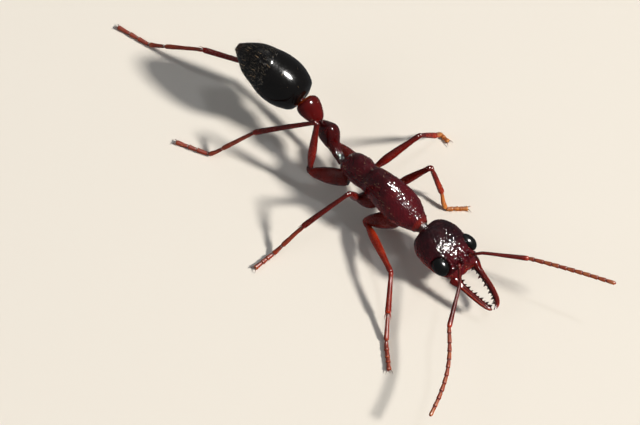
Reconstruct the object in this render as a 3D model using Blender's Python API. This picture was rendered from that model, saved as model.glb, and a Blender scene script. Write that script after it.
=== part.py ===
"""Bull ant (Myrmecia), a worker about 21 mm from jaw tips to the end of the gaster, standing on its six feet.

Plan: x is the ant's left, -y is forward and z is up, with the floor at z = 0. Sizes below are in millimetres,
and places are measured from the point on the floor under the neck until MIDDLE moves the whole ant over the
origin. Every body part is one closed solid, parted from its neighbour by a thin cut.
"""

from math import cos, pi, radians, sin

import bmesh
import bpy
from mathutils import Euler, Matrix, Vector

MM = 0.001
GAP = 0.04
MIDDLE = (-0.726, 6.255)
BODY_SIDES = 14
LIMB_SIDES_STEP = 2

# Each table row is a cross-section: distance along the part, half width, height above and depth below its axis.
TRUNK_START = (0.0, 0.0, 2.85)
TRUNK = (
    (0.04, 0.36, 0.30, 0.55),
    (0.35, 0.54, 0.49, 0.70),
    (0.90, 0.84, 0.80, 0.72),
    (1.60, 1.04, 1.17, 0.64),
    (2.30, 1.00, 1.50, 0.60),
    (3.00, 0.88, 1.56, 0.64),
    (3.65, 0.77, 1.44, 0.64),
    (3.98, 0.68, 1.24, 0.62),
    (4.60, 0.76, 1.27, 0.66),
    (5.20, 0.74, 1.10, 0.72),
    (5.70, 0.62, 0.64, 0.76),
    (6.00, 0.36, 0.06, 0.74),
)
PRONOTUM_END = 2.45
MESOTHORAX_END = 3.95

HEAD_BASE = (-0.03, 0.0, 2.60)
HEAD_TURN = (10.0, 4.0, 3.5)
HEAD = (
    (0.10, 0.50, 0.40, 0.35),
    (0.18, 0.82, 0.64, 0.56),
    (0.45, 1.14, 0.88, 0.80),
    (1.00, 1.36, 1.04, 0.98),
    (1.80, 1.38, 1.04, 1.02),
    (2.45, 1.23, 0.86, 0.94),
    (3.00, 0.99, 0.62, 0.74),
    (3.34, 0.62, 0.32, 0.50),
)
EYE_PLACE = (1.09, -2.23, 0.26)
EYE_SIZE = (0.40, 0.57, 0.50)
EYE_TURN = (0.0, -14.0, 6.0)
SCAPE_SOCKET = (0.40, -2.87, 0.58)
# A jaw's course in the head's plan: its root, the two places its curve leans to, and its tip.
JAWS = {
    "left": ((0.84, -3.00), (0.42, -4.30), (0.28, -5.92), (-0.56, -5.80)),
    "right": ((-0.78, -3.08), (-0.84, -4.20), (-0.76, -5.78), (-0.60, -5.72)),
}
JAW_HEIGHT = (-0.30, -0.26)
JAW_THICK = 0.44
JAW_WIDE = 0.38
JAW_TEETH = 9
TOOTHED = (0.12, 0.76)
TOOTH_LONG = 0.13

PETIOLE_START = (-0.10, 6.06, 2.45)
PETIOLE_END = (0.56, 8.55, 3.10)
PETIOLE = (
    (0.04, 0.25, 0.24, 0.24),
    (0.50, 0.27, 0.28, 0.26),
    (0.95, 0.30, 0.36, 0.32),
    (1.40, 0.49, 0.76, 0.40),
    (1.90, 0.59, 0.92, 0.44),
    (2.30, 0.46, 0.62, 0.40),
    (2.62, 0.26, 0.28, 0.26),
)
POSTPETIOLE_END = (0.72, 9.97, 3.62)
POSTPETIOLE = (
    (0.04, 0.25, 0.24, 0.24),
    (0.26, 0.43, 0.40, 0.40),
    (0.65, 0.60, 0.61, 0.54),
    (1.05, 0.68, 0.73, 0.60),
    (1.32, 0.62, 0.66, 0.52),
    (1.49, 0.42, 0.40, 0.36),
)
GASTER_START = (0.78, 9.99, 3.64)
GASTER_TIP = (0.02, 14.50, 4.66)
GASTER = (
    (0.04, 0.50, 0.46, 0.46),
    (0.22, 0.94, 0.88, 0.88),
    (0.70, 1.23, 1.22, 1.14),
    (1.40, 1.42, 1.39, 1.28),
    (2.15, 1.40, 1.43, 1.22),
    (2.90, 1.19, 1.42, 1.02),
    (3.60, 0.98, 1.18, 0.76),
    (4.20, 0.58, 0.80, 0.46),
    (4.72, 0.19, 0.28, 0.17),
)
GASTER_PARTS = (0.04, 2.45, 3.25, 3.90, 4.72)

# A leg's places: root in the trunk, end of the coxa, knee, end of the tibia, the foot's touch point and its toe.
LEGS = {
    "fore_right": ((-0.42, 1.50, 2.15), (-1.16, 3.24, 0.98), (-2.80, -0.41, 1.75), (-4.29, -1.71, 0.80),
                   (-5.39, -2.69, 0.20), (-6.43, -3.97, 0.20)),
    "mid_right": ((-0.36, 3.20, 2.20), (-0.72, 4.27, 1.55), (-1.98, 3.68, 4.10), (-4.21, 4.93, 1.80),
                  (-5.90, 5.53, 0.24), (-7.22, 5.57, 0.20)),
    "hind_right": ((-0.46, 5.25, 2.10), (-1.40, 7.35, 1.55), (-0.64, 7.53, 5.40), (-2.29, 10.79, 2.60),
                   (-3.97, 12.62, 0.24), (-4.77, 14.55, 0.20)),
    "fore_left": ((0.42, 1.50, 2.15), (1.30, 3.60, 1.20), (2.59, 2.02, 3.60), (3.12, 1.62, 0.98),
                  (2.86, 1.10, 0.22), (3.80, 0.22, 0.20)),
    "mid_left": ((0.36, 3.20, 2.20), (0.92, 4.95, 1.80), (3.47, 3.80, 3.85), (5.20, 4.20, 1.60),
                 (6.16, 4.72, 0.22), (6.14, 4.05, 0.20)),
    "hind_left": ((0.46, 5.25, 2.10), (0.88, 7.70, 1.50), (1.60, 12.50, 2.45), (-0.26, 17.11, 1.98),
                  (-1.40, 20.45, 0.22), (-1.85, 22.61, 0.20)),
}
COXA_THICK = (0.42, 0.48, 0.36, 0.25)
FEMUR_THICK = (0.25, 0.27, 0.32, 0.28, 0.25)
TIBIA_THICK = (0.25, 0.25, 0.27, 0.28)
TARSUS_THICK = 0.26
ANTENNA_THICK = 0.26

# An antenna's places after its socket: the bend near its root, the elbow, the middle of the whip and its tip.
ANTENNAE = {
    "left": ((1.02, -3.60, 3.15), (2.36, -5.56, 3.40), (3.24, -7.69, 3.80), (4.21, -10.07, 4.10)),
    "right": ((-1.15, -3.90, 2.90), (-3.35, -5.28, 2.60), (-5.30, -7.07, 2.50), (-7.78, -8.29, 2.50)),
}

COLOURS = {
    "maroon_shell": ((0.105, 0.018, 0.020), 0.36),
    "red_shell": ((0.260, 0.022, 0.016), 0.22),
    "black_shell": ((0.012, 0.011, 0.012), 0.16),
    "eye_black": ((0.008, 0.008, 0.009), 0.08),
    "leg_red": ((0.300, 0.050, 0.022), 0.28),
    "foot_orange": ((0.420, 0.140, 0.040), 0.38),
}


def clear_scene():
    for old in list(bpy.data.objects):
        bpy.data.objects.remove(old, do_unlink=True)


def new_collection(name, hidden=False):
    group = bpy.data.collections.new(name)
    group.hide_render = hidden
    bpy.context.scene.collection.children.link(group)
    return group


def shell_material(name):
    colour, roughness = COLOURS[name]
    material = bpy.data.materials.new(name)
    material.use_nodes = True
    shader = material.node_tree.nodes["Principled BSDF"]
    shader.inputs["Base Color"].default_value = (*colour, 1.0)
    shader.inputs["Roughness"].default_value = roughness
    shader.inputs["Metallic"].default_value = 0.0
    return material


def place_of(point):
    """A point of the plan, in metres over the origin."""
    return Vector((point[0] - MIDDLE[0], point[1] - MIDDLE[1], point[2])) * MM


def aim(start, end):
    """The frame at start whose local y runs to end and whose local z leans up."""
    along = (Vector(end) - Vector(start)).normalized()
    side = along.cross(Vector((0.0, 0.0, 1.0))).normalized()
    up = side.cross(along)
    turn = Matrix((side, along, up)).transposed().to_4x4()
    return Matrix.Translation(Vector(start)) @ turn


def head_frame():
    return Matrix.Translation(Vector(HEAD_BASE)) @ Euler([radians(a) for a in HEAD_TURN]).to_matrix().to_4x4()


def section_at(table, along):
    """The cross-section at a distance along a part: a smooth curve through the table's rows."""
    last = len(table) - 1
    index = max(i for i in range(last) if table[i][0] <= along or i == 0)
    before, here, after, beyond = (table[min(max(index + k, 0), last)] for k in (-1, 0, 1, 2))
    span = after[0] - here[0]
    t = (along - here[0]) / span
    values = []
    for column in (1, 2, 3):
        slope_here = (after[column] - before[column]) / max(after[0] - before[0], 1e-6) * span
        slope_after = (beyond[column] - here[column]) / max(beyond[0] - here[0], 1e-6) * span
        values.append(
            (2 * t**3 - 3 * t**2 + 1) * here[column]
            + (t**3 - 2 * t**2 + t) * slope_here
            + (3 * t**2 - 2 * t**3) * after[column]
            + (t**3 - t**2) * slope_after
        )
    return values


def stations(table, start, end):
    """Where the rings of a part go: its ends, the rows between them and a ring between each two."""
    marks = [start] + [row[0] for row in table if start + 0.1 < row[0] < end - 0.1] + [end]
    between = [(a + b) / 2 for a, b in zip(marks, marks[1:]) if b - a > 0.3]
    return sorted(marks + between)


def mesh_object(name, shape, group, colour=None):
    mesh = bpy.data.meshes.new(name)
    bmesh.ops.recalc_face_normals(shape, faces=shape.faces)
    shape.to_mesh(mesh)
    shape.free()
    mesh.shade_smooth()
    mesh.set_sharp_from_angle(angle=radians(40))
    piece = bpy.data.objects.new(name, mesh)
    group.objects.link(piece)
    if colour:
        mesh.materials.append(MATERIALS[colour])
    return piece


def loft(name, table, frame, group, colour=None, start=None, end=None, forward=1.0, grow=0.0):
    """A closed body through a table's cross-sections, along the frame's y, or against it with forward = -1."""
    start = table[0][0] if start is None else start
    end = table[-1][0] if end is None else end
    shape = bmesh.new()
    rings = []
    for along in stations(table, start, end):
        half_width, above, below = section_at(table, along)
        ring = []
        for k in range(BODY_SIDES):
            angle = 2 * pi * k / BODY_SIDES
            x = (half_width + grow) * cos(angle)
            z = (above + grow if sin(angle) > 0 else below + grow) * sin(angle)
            ring.append(shape.verts.new(place_of(frame @ Vector((x, forward * along, z)))))
        rings.append(ring)
    for ring, other in zip(rings, rings[1:]):
        for k in range(BODY_SIDES):
            nearby = (k + 1) % BODY_SIDES
            shape.faces.new((ring[k], ring[nearby], other[nearby], other[k]))
    shape.faces.new(rings[0])
    shape.faces.new(rings[-1])
    return mesh_object(name, shape, group, colour)


def limb(name, points, radii, group, colour=None, grow=0.0):
    """A round bar through points, with a radius at each, made a mesh so that it can be cut."""
    curve = bpy.data.curves.new(name, "CURVE")
    curve.dimensions = "3D"
    curve.bevel_depth = MM
    curve.bevel_resolution = LIMB_SIDES_STEP
    curve.use_fill_caps = True
    spline = curve.splines.new("POLY")
    spline.points.add(len(points) - 1)
    for spot, point, radius in zip(spline.points, points, radii):
        spot.co = (*place_of(point), 1.0)
        spot.radius = radius + grow
    guide = bpy.data.objects.new(name + "_guide", curve)
    group.objects.link(guide)
    bpy.context.view_layer.update()
    seen = guide.evaluated_get(bpy.context.evaluated_depsgraph_get())
    mesh = bpy.data.meshes.new_from_object(seen)
    shape = bmesh.new()
    shape.from_mesh(mesh)
    bmesh.ops.remove_doubles(shape, verts=shape.verts, dist=1e-7)
    bpy.data.objects.remove(guide, do_unlink=True)
    bpy.data.curves.remove(curve)
    bpy.data.meshes.remove(mesh)
    return mesh_object(name, shape, group, colour)


def ball(name, centre, size, turn, group, colour=None, grow=0.0):
    shape = bmesh.new()
    bmesh.ops.create_uvsphere(shape, u_segments=14, v_segments=9, radius=1.0)
    scale = Matrix.Diagonal([*(s + grow for s in size), 1.0])
    for vert in shape.verts:
        vert.co = place_of(centre @ (turn @ (scale @ vert.co)))
    return mesh_object(name, shape, group, colour)


def cut(piece, cutter):
    knife = piece.modifiers.new("cut_" + cutter.name, "BOOLEAN")
    knife.operation = "DIFFERENCE"
    knife.solver = "EXACT"
    knife.object = cutter
    cutter.hide_render = True
    cutter.display_type = "WIRE"


def between(start, end, share):
    return Vector(start).lerp(Vector(end), share)


def round_end(start, end, radius):
    """Points and radii that close a bar's end like half a ball, centred on end."""
    along = (Vector(end) - Vector(start)).normalized()
    angles = (radians(45), radians(80))
    return [Vector(end) + along * radius * sin(a) for a in angles], [radius * cos(a) for a in angles]


def bar(name, start, end, radii, group, colour=None, grow=0.0, bow=(0.0, 0.0, 0.0)):
    """A limb's length from joint to joint: radii spread evenly along it, a slight bow, and a round far end."""
    count = len(radii) - 1
    points = [between(start, end, k / count) + Vector(bow) * sin(pi * k / count) for k in range(count + 1)]
    cap_points, cap_radii = round_end(start, end, radii[-1])
    return limb(name, points + cap_points, list(radii) + cap_radii, group, colour, grow)


def make_trunk():
    frame = Matrix.Translation(Vector(TRUNK_START))
    half = GAP / 2
    loft("pronotum", TRUNK, frame, PARTS, "maroon_shell", end=PRONOTUM_END - half)
    loft("mesothorax", TRUNK, frame, PARTS, "maroon_shell", start=PRONOTUM_END + half, end=MESOTHORAX_END - half)
    loft("propodeum", TRUNK, frame, PARTS, "maroon_shell", start=MESOTHORAX_END + half)
    return loft("trunk_cutter", TRUNK, frame, CUTTERS, grow=GAP)


def jaw_point(side_name, share):
    """The middle of a jaw at a share of its course, and the way it runs there."""
    root, first, second, tip = (Vector(p) for p in JAWS[side_name])
    rest = 1 - share
    spot = root * rest**3 + first * 3 * rest**2 * share + second * 3 * rest * share**2 + tip * share**3
    run = (first - root) * rest**2 + (second - first) * 2 * rest * share + (tip - second) * share**2
    return spot, run.normalized()


def mandible_outline(side_name, side):
    """The jaw seen from above: a smooth outer edge, then back along an inner edge of teeth."""
    steps = 12

    def edge(share, outward, tooth=0.0):
        spot, run = jaw_point(side_name, share)
        half = JAW_WIDE / 2 * (1 - 0.15 * share) * (1 - share**6)
        return spot + side * Vector((-run.y, run.x)) * (outward * half - tooth)

    outer = [edge(k / steps, 1) for k in range(steps + 1)]
    inner = [edge(0.88, -1)]
    for k in range(JAW_TEETH):
        share = TOOTHED[1] + (TOOTHED[0] - TOOTHED[1]) * k / (JAW_TEETH - 1)
        inner.append(edge(share + 0.03, -1))
        inner.append(edge(share, -1, TOOTH_LONG))
    inner.append(edge(0.0, -1))
    return outer + inner


def make_mandible(side_name, side, frame):
    """A flat toothed blade that leans from its root's height to its tip's."""
    shape = bmesh.new()
    low, high = [], []
    start, end = JAWS[side_name][0][1], JAWS[side_name][-1][1]
    for spot in mandible_outline(side_name, side):
        share = min(max((spot.y - start) / (end - start), 0.0), 1.0)
        height = JAW_HEIGHT[0] + share * (JAW_HEIGHT[1] - JAW_HEIGHT[0])
        half = JAW_THICK / 2 * (1 - 0.5 * share**2)
        low.append(shape.verts.new(place_of(frame @ Vector((spot.x, spot.y, height - half)))))
        high.append(shape.verts.new(place_of(frame @ Vector((spot.x, spot.y, height + half)))))
    count = len(low)
    for k in range(count):
        nearby = (k + 1) % count
        shape.faces.new((low[k], low[nearby], high[nearby], high[k]))
    shape.faces.new(low)
    shape.faces.new(high)
    bmesh.ops.triangulate(shape, faces=shape.faces)
    return mesh_object(f"mandible_{side_name}", shape, PARTS, "red_shell")


def make_head():
    frame = head_frame()
    head = loft("head", HEAD, frame, PARTS, "maroon_shell", forward=-1.0)
    head_cutter = loft("head_cutter", HEAD, frame, CUTTERS, forward=-1.0, grow=GAP)
    for side_name, side in (("left", 1), ("right", -1)):
        spot = Matrix.Translation(Vector((side * EYE_PLACE[0], *EYE_PLACE[1:])))
        lean = Euler((radians(EYE_TURN[0]), side * radians(EYE_TURN[1]), side * radians(EYE_TURN[2])))
        turn = lean.to_matrix().to_4x4()
        ball(f"eye_{side_name}", frame @ spot, EYE_SIZE, turn, PARTS, "eye_black")
        cut(head, ball(f"eye_cutter_{side_name}", frame @ spot, EYE_SIZE, turn, CUTTERS, grow=GAP))
        cut(make_mandible(side_name, side, frame), head_cutter)
        make_antenna(side_name, side, frame, head)


def make_antenna(side_name, side, frame, head):
    """The scape, from its socket in the head to the elbow, and the long whip beyond it."""
    socket = frame @ Vector((side * SCAPE_SOCKET[0], *SCAPE_SOCKET[1:]))
    bend, elbow, middle, tip = (Vector(p) for p in ANTENNAE[side_name])
    thick = ANTENNA_THICK
    along = (bend - socket).normalized()
    cap_points, cap_radii = round_end(bend, elbow, thick)
    points = [socket - along * 0.12, socket + along * 0.1, bend, between(bend, elbow, 0.5), elbow] + cap_points
    scape_radii = [thick * 0.8, thick, thick, thick, thick] + cap_radii
    limb(f"scape_{side_name}", points, scape_radii, PARTS, "leg_red")
    scape_cutter = limb(f"scape_cutter_{side_name}", points, scape_radii, CUTTERS, grow=GAP)
    cut(head, scape_cutter)
    bow = middle - between(elbow, tip, 0.5)
    points = [between(elbow, tip, k / 8) + bow * sin(pi * k / 8) for k in range(9)]
    whip = limb(f"funiculus_{side_name}", points, [thick] * 8 + [thick * 0.8], PARTS, "foot_orange")
    cut(whip, scape_cutter)


def make_leg(name, trunk_cutter, floor):
    """Coxa, femur with its trochanter, tibia and foot, each trimmed against the one before."""
    root, hip, knee, ankle, touch, toe = LEGS[name]
    coxa = bar(f"coxa_{name}", root, hip, COXA_THICK, PARTS, "leg_red")
    cut(coxa, trunk_cutter)
    coxa_cutter = bar(f"coxa_cutter_{name}", root, hip, COXA_THICK, CUTTERS, grow=GAP)
    femur = bar(f"femur_{name}", hip, knee, FEMUR_THICK, PARTS, "leg_red")
    cut(femur, coxa_cutter)
    femur_cutter = bar(f"femur_cutter_{name}", hip, knee, FEMUR_THICK, CUTTERS, grow=GAP)
    tibia = bar(f"tibia_{name}", knee, ankle, TIBIA_THICK, PARTS, "leg_red")
    cut(tibia, femur_cutter)
    tibia_cutter = bar(f"tibia_cutter_{name}", knee, ankle, TIBIA_THICK, CUTTERS, grow=GAP)
    touch, toe = Vector(touch), Vector(toe)
    points = [Vector(ankle), between(ankle, touch, 0.5), between(ankle, touch, 0.92)]
    points += [between(touch, toe, 0.2), between(touch, toe, 0.6), toe]
    foot = limb(f"tarsus_{name}", points, [TARSUS_THICK] * 5 + [TARSUS_THICK * 0.9], PARTS, "foot_orange")
    cut(foot, tibia_cutter)
    cut(foot, floor)


def make_floor_cutter():
    """What lies under the floor: it trims the feet to small flats at one level."""
    shape = bmesh.new()
    bmesh.ops.create_cube(shape, size=1.0)
    for vert in shape.verts:
        vert.co = Vector((vert.co.x * 60.0, vert.co.y * 60.0, (vert.co.z - 0.5) * 2.0)) * MM
    return mesh_object("floor_cutter", shape, CUTTERS)


def make_abdomen():
    """The two nodes of the waist, then the gaster in its four rings."""
    loft("petiole", PETIOLE, aim(PETIOLE_START, PETIOLE_END), PARTS, "red_shell")
    loft("postpetiole", POSTPETIOLE, aim(PETIOLE_END, POSTPETIOLE_END), PARTS, "red_shell")
    frame = aim(GASTER_START, GASTER_TIP)
    for number, (start, end) in enumerate(zip(GASTER_PARTS, GASTER_PARTS[1:]), 1):
        last = end == GASTER_PARTS[-1]
        first = start == GASTER_PARTS[0]
        loft(f"gaster_{number}", GASTER, frame, PARTS, "black_shell",
             start=start if first else start + GAP / 2, end=end if last else end - GAP / 2)


clear_scene()
PARTS = new_collection("bull_ant")
CUTTERS = new_collection("cutters", hidden=True)
MATERIALS = {name: shell_material(name) for name in COLOURS}
make_head()
trunk_tool = make_trunk()
make_abdomen()
floor_tool = make_floor_cutter()
for leg_name in LEGS:
    make_leg(leg_name, trunk_tool, floor_tool)
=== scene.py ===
"""A bull ant (Myrmecia) worker, still and life size: its shell, eyes, jaws, feelers, legs and hairs.

Sizes are in millimetres in the ant's own plan: x is its left, -y is forward and z is up. Places are measured
from the floor under the neck, and to_row() turns them into the frame's metres.
"""

from functools import partial
from math import cos, pi, radians, sin

import bpy
import numpy as np
from mathutils import Euler, Matrix, Vector, noise


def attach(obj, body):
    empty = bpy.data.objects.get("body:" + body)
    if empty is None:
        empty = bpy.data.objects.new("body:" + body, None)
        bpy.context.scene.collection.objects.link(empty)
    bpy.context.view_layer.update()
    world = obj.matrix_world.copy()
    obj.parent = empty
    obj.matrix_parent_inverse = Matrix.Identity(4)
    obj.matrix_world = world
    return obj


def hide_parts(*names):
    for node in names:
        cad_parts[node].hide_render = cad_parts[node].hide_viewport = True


MM = 0.001
# The frame's origin in the plan.
MIDDLE = np.array((-0.726, 6.255, 0.0))
BODY = "root"
SIDES = {"left": 1, "right": -1}
UP = (0.0, 0.0, 1.0)

# ---- the ant's plan

# Each table row is a cross-section: its distance along the part, half its width, its height above the part's
# axis and its depth below it.
TRUNK_START = (0.0, 0.0, 2.85)
TRUNK = (
    (0.04, 0.36, 0.30, 0.55),
    (0.35, 0.54, 0.49, 0.70),
    (0.90, 0.84, 0.80, 0.72),
    (1.60, 1.04, 1.17, 0.64),
    (2.30, 1.00, 1.50, 0.60),
    (3.00, 0.88, 1.56, 0.64),
    (3.65, 0.77, 1.44, 0.64),
    (3.98, 0.68, 1.24, 0.62),
    (4.60, 0.76, 1.27, 0.66),
    (5.20, 0.74, 1.10, 0.72),
    (5.70, 0.62, 0.64, 0.76),
    (6.00, 0.36, 0.06, 0.74),
)
HEAD_BASE = (-0.03, 0.0, 2.60)
HEAD_TURN = (10.0, 4.0, 3.5)
HEAD = (
    (0.10, 0.50, 0.40, 0.35),
    (0.18, 0.82, 0.64, 0.56),
    (0.45, 1.14, 0.88, 0.80),
    (1.00, 1.36, 1.04, 0.98),
    (1.80, 1.38, 1.04, 1.02),
    (2.45, 1.23, 0.86, 0.94),
    (3.00, 0.99, 0.62, 0.74),
    (3.34, 0.62, 0.32, 0.50),
)
EYE_PLACE = (1.09, -2.23, 0.26)
EYE_SIZE = (0.40, 0.57, 0.50)
EYE_TURN = (0.0, -14.0, 6.0)
SCAPE_SOCKET = (0.40, -2.87, 0.58)
# A jaw's course in the head's plan: its root, the two places its curve leans to, and its tip.
JAWS = {
    "left": ((0.84, -3.00), (0.42, -4.30), (0.28, -5.92), (-0.56, -5.80)),
    "right": ((-0.78, -3.08), (-0.84, -4.20), (-0.76, -5.78), (-0.60, -5.72)),
}
JAW_HEIGHT = (-0.30, -0.26)
PETIOLE_START = (-0.10, 6.06, 2.45)
PETIOLE_END = (0.56, 8.55, 3.10)
PETIOLE_BOW = 0.13
PETIOLE = (
    (0.04, 0.25, 0.24, 0.24),
    (0.50, 0.27, 0.28, 0.26),
    (0.95, 0.30, 0.36, 0.32),
    (1.40, 0.49, 0.76, 0.40),
    (1.90, 0.59, 0.92, 0.44),
    (2.30, 0.46, 0.62, 0.40),
    (2.62, 0.26, 0.28, 0.26),
)
POSTPETIOLE_END = (0.72, 9.97, 3.62)
POSTPETIOLE = (
    (0.04, 0.25, 0.24, 0.24),
    (0.26, 0.43, 0.40, 0.40),
    (0.65, 0.60, 0.61, 0.54),
    (1.05, 0.68, 0.73, 0.60),
    (1.32, 0.62, 0.66, 0.52),
    (1.49, 0.42, 0.40, 0.36),
)
GASTER_START = (0.78, 9.99, 3.64)
GASTER_TIP = (0.02, 14.50, 4.66)
GASTER = (
    (0.04, 0.50, 0.46, 0.46),
    (0.22, 0.94, 0.88, 0.88),
    (0.70, 1.23, 1.22, 1.14),
    (1.40, 1.42, 1.39, 1.28),
    (2.15, 1.40, 1.43, 1.22),
    (2.90, 1.19, 1.42, 1.02),
    (3.60, 0.98, 1.18, 0.76),
    (4.20, 0.58, 0.80, 0.46),
    (4.72, 0.19, 0.28, 0.17),
)
# A leg's places: its root in the trunk, the end of the coxa, the knee, the end of the tibia, the foot's touch
# point and its toe.
LEGS = {
    "fore_right": ((-0.42, 1.50, 2.15), (-1.16, 3.24, 0.98), (-2.80, -0.41, 1.75), (-4.29, -1.71, 0.80),
                   (-5.39, -2.69, 0.20), (-6.43, -3.97, 0.20)),
    "mid_right": ((-0.36, 3.20, 2.20), (-0.72, 4.27, 1.55), (-1.98, 3.68, 4.10), (-4.21, 4.93, 1.80),
                  (-5.90, 5.53, 0.24), (-7.22, 5.57, 0.20)),
    "hind_right": ((-0.46, 5.25, 2.10), (-1.40, 7.35, 1.55), (-0.64, 7.53, 5.40), (-2.29, 10.79, 2.60),
                   (-3.97, 12.62, 0.24), (-4.77, 14.55, 0.20)),
    "fore_left": ((0.42, 1.50, 2.15), (1.30, 3.60, 1.20), (2.59, 2.02, 3.60), (3.12, 1.62, 0.98),
                  (2.86, 1.10, 0.22), (3.80, 0.22, 0.20)),
    "mid_left": ((0.36, 3.20, 2.20), (0.92, 4.95, 1.80), (3.47, 3.80, 3.85), (5.20, 4.20, 1.60),
                 (6.16, 4.72, 0.22), (6.14, 4.05, 0.20)),
    "hind_left": ((0.46, 5.25, 2.10), (0.88, 7.70, 1.50), (1.60, 12.50, 2.45), (-0.26, 17.11, 1.98),
                  (-1.40, 20.45, 0.22), (-1.85, 22.61, 0.20)),
}
# An antenna's places after its socket: the bend near its root, the elbow, the middle of the whip and its tip.
ANTENNAE = {
    "left": ((1.02, -3.60, 3.15), (2.36, -5.56, 3.40), (3.24, -7.69, 3.80), (4.21, -10.07, 4.10)),
    "right": ((-1.15, -3.90, 2.90), (-3.35, -5.28, 2.60), (-5.30, -7.07, 2.50), (-7.78, -8.29, 2.50)),
}

# ---- floor, light and camera

FLOOR_REACH = 0.6
LAMP_TARGET = (0.0, 5.0, 2.0)
VIEW_AZIMUTH = radians(-44.0)
VIEW_ELEVATION = radians(58.09)
VIEW_DISTANCE = 170.0
VIEW_TARGET = (-2.152, 5.737, 0.0)
LENS = 174.3

# ---- sizes of the finer shapes

# How many rings a piece has, and how many points each ring has.
GRIDS = {
    "head": (110, 320), "eye": (56, 84), "lip": (24, 40), "jaw": (110, 48), "scape": (70, 20),
    "neck": (40, 120), "pronotum": (120, 280), "mesothorax": (80, 280), "propodeum": (100, 280),
    "petiole": (90, 140), "waist_joint": (16, 36), "postpetiole": (80, 140),
    "gaster_1": (110, 180), "gaster_2": (50, 180), "gaster_3": (50, 180), "gaster_4": (50, 180),
    "coxa": (50, 60), "femur": (80, 24), "tibia": (60, 24),
}
BEAD_ROWS = 18
BEAD_SIDES = 18
THORN_SIDES = 8
# A plate's open end turns in by these shares of the way to its middle, and back along the plate by its fold.
FOLD_STEPS = (0.35, 0.10, 0.03)
FOLD = 0.06
GASTER_FOLD = 0.016
# The plates' edges: their distance at the sides, how far their top leans back and how far their left does.
TRUNK_EDGES = ((0.04, 0.0, 0.0), (2.05, 0.48, 0.0), (3.78, 0.17, 0.0), (6.0, 0.0, 0.0))
GASTER_EDGES = ((0.04, 0.0, 0.0), (2.27, 0.16, 0.25), (3.12, 0.12, 0.12), (3.84, 0.06, 0.05),
                (4.70, 0.0, 0.0))
# How far a plate's front lies under the one before it.
TRUNK_OVERLAP = 0.03
GASTER_OVERLAP = 0.08
# From one fine wrinkle of the head and the trunk to the next.
RUGA_PITCH = 0.115
JAW_WIDTH = 0.175
JAW_THICKNESS = 0.165
LIP_RADIUS = 0.34
NECK_RADIUS = 0.30
WAIST_JOINT_RADIUS = 0.19
TEETH = 11
# Each tooth's length and its thickness at the root: large and small ones take turns.
TOOTH_SIZES = ((0.17, 0.10), (0.10, 0.065))
FOOT_LIFT = 0.145
SPUR_LENGTH = 0.42
SPUR_RADIUS = 0.035
CLAW_RADIUS = 0.034
# The shares of the beads along a foot, a whip and a palp, then a bead's radius at its joint, waist and rim.
FOOT_SPANS = (0.46, 0.18, 0.13, 0.09, 0.14)
WHIP_SPANS = (0.7, 1.25, *[1.0] * 8, 1.3)
PALP_SPANS = (0.25, 0.27, 0.25, 0.23)
FOOT_BEAD = (0.098, 0.118, 0.138)
WHIP_BEAD = (0.092, 0.110, 0.122)
PALP_BEAD = (0.03, 0.035, 0.045)

# Limb radii at shares of a piece's length.
COXA = ((0.0, 0.34), (0.12, 0.44), (0.45, 0.47), (0.80, 0.33), (0.95, 0.21), (1.0, 0.15))
FEMUR = ((0.0, 0.15), (0.05, 0.19), (0.09, 0.185), (0.12, 0.15), (0.16, 0.17), (0.32, 0.235), (0.55, 0.215),
         (0.85, 0.155), (0.95, 0.16), (1.0, 0.13))
TIBIA = ((0.0, 0.12), (0.03, 0.145), (0.10, 0.12), (0.30, 0.135), (0.65, 0.15), (0.90, 0.165), (0.98, 0.16),
         (1.0, 0.12))
SCAPE = ((0.0, 0.08), (0.03, 0.12), (0.06, 0.070), (0.12, 0.080), (0.50, 0.100), (0.85, 0.130), (0.97, 0.135),
         (1.0, 0.09))
# Chitin's refractive index, how far its roughness varies each way, and how deep light goes into thin parts.
CHITIN_IOR = 1.55
ROUGH_SPREAD = 0.04
GLOW_DEPTH = 0.25
# The size of a bristle's patch on its skin's unwrap, how far its aim strays, and its shortest and longest
# share of its coat's length.
ROOT_PATCH = 0.003
STRAY = 0.16
LENGTHS = (0.6, 1.15)
# A coat's bristles: how many are on each square millimetre, their length and thickness, how far they lean
# along the skin, how much they curl, and the seed of their places.
GREY_COATS = ("funiculus", "gaster_down")
COATS = {
    "head": (6.0, 0.13, 0.007, 0.30, 4.0, 11),
    "mandible": (6.0, 0.11, 0.008, 0.5, 6.0, 21),
    "scape": (9.0, 0.09, 0.006, 0.6, 6.0, 31),
    "funiculus": (60.0, 0.06, 0.005, 0.75, 3.0, 32),
    "pronotum": (4.0, 0.18, 0.007, 0.30, 5.0, 41),
    "mesothorax": (9.0, 0.18, 0.007, 0.30, 5.0, 41),
    "propodeum": (9.0, 0.18, 0.007, 0.30, 5.0, 41),
    "petiole": (3.0, 0.20, 0.010, 0.35, 4.0, 51),
    "postpetiole": (3.0, 0.22, 0.010, 0.35, 4.0, 52),
    "gaster_1": (5.0, 0.20, 0.010, 0.45, 6.0, 61),
    "gaster_2": (5.0, 0.28, 0.012, 0.45, 6.0, 63),
    "gaster_3": (6.0, 0.28, 0.012, 0.45, 6.0, 63),
    "gaster_4": (7.0, 0.28, 0.012, 0.45, 6.0, 63),
    "gaster_down": (110.0, 0.12, 0.006, 0.88, 1.0, 62),
    "femur": (5.0, 0.13, 0.007, 0.55, 6.0, 71),
    "tibia": (11.0, 0.13, 0.007, 0.62, 6.0, 72),
    "tarsus": (26.0, 0.11, 0.006, 0.6, 6.0, 73),
}


def to_row(points):
    """Plan millimetres to the frame's metres."""
    return (np.asarray(points, float) - MIDDLE) * MM


def on_side(place, side):
    """A place given for the left, on the side wanted."""
    return np.array((side * place[0], *place[1:]))


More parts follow.
